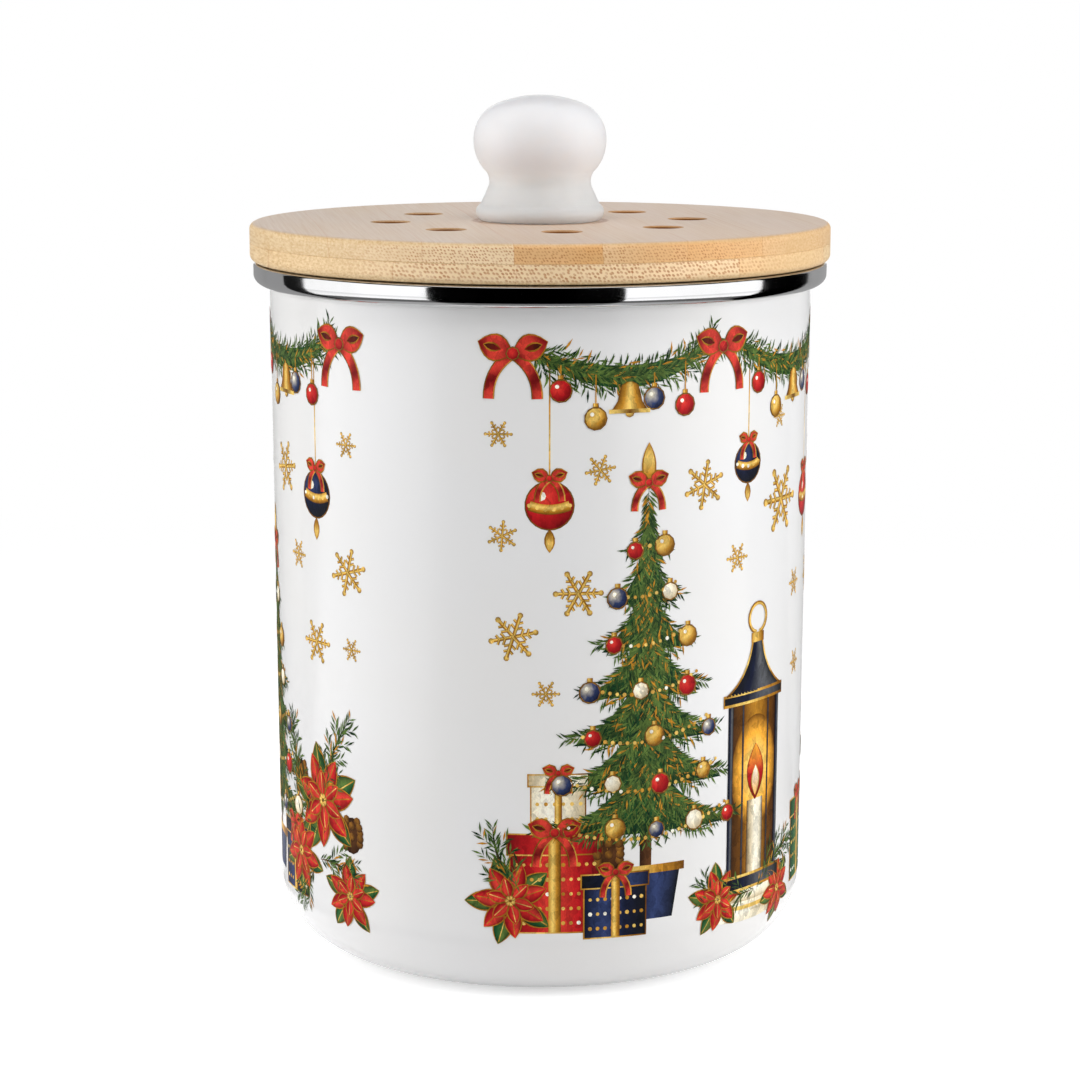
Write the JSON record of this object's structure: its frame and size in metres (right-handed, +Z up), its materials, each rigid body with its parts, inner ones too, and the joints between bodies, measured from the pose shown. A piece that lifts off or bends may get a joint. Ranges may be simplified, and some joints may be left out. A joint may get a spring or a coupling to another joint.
{
  "type": "compost caddy",
  "caption": "Enamelled steel kitchen compost caddy with a rolled, banded rim and a lift-off bamboo lid that has a knob, vents, a finned seal and a twist-out charcoal filter.",
  "frame": {"origin": "middle of the underside, on the plane that the canister stands on", "axes": "+Z up along the canister's axis, towards the knob; the picture looks along +Y"},
  "size_m": [0.1692, 0.1692, 0.2504],
  "materials": {
    "enamel": "glossy white enamel with a printed winter pattern",
    "band_steel": "mirror-polished stainless steel",
    "bamboo": "satin lacquered bamboo, cut across and along the fibres",
    "silicone": "matt translucent white silicone",
    "knob_glaze": "glossy white glaze",
    "insert_brass": "turned brass",
    "screw_steel": "zinc-plated steel",
    "holder_plastic": "fine-textured moulded plastic",
    "charcoal_felt": "activated charcoal felt"
  },
  "bodies": {
    "canister": {"body_shell": "enamel", "rim_band": "band_steel"},
    "lid": {"lid_top_board": "bamboo", "lid_lower_board": "bamboo", "lid_plug": "bamboo", "seal_ring": "silicone", "knob": "knob_glaze", "knob_insert": "insert_brass", "knob_screw": "screw_steel", "knob_washer": "screw_steel", "filter_holder": "holder_plastic", "holder_screws": "screw_steel"},
    "filter_cover_body": {"filter_cover": "holder_plastic", "carbon_filter": "charcoal_felt"}
  },
  "joints": [
    {"name": "lid_lift", "type": "slide", "parent": "canister", "child": "lid", "axis": [0, 0, 1], "range_m": [0, 0.12]},
    {"name": "filter_twist", "type": "hinge", "parent": "lid", "child": "filter_cover_body", "pos_m": [0, 0, 0.19], "axis": [0, 0, -1], "range_deg": [0, 46]}
  ]
}
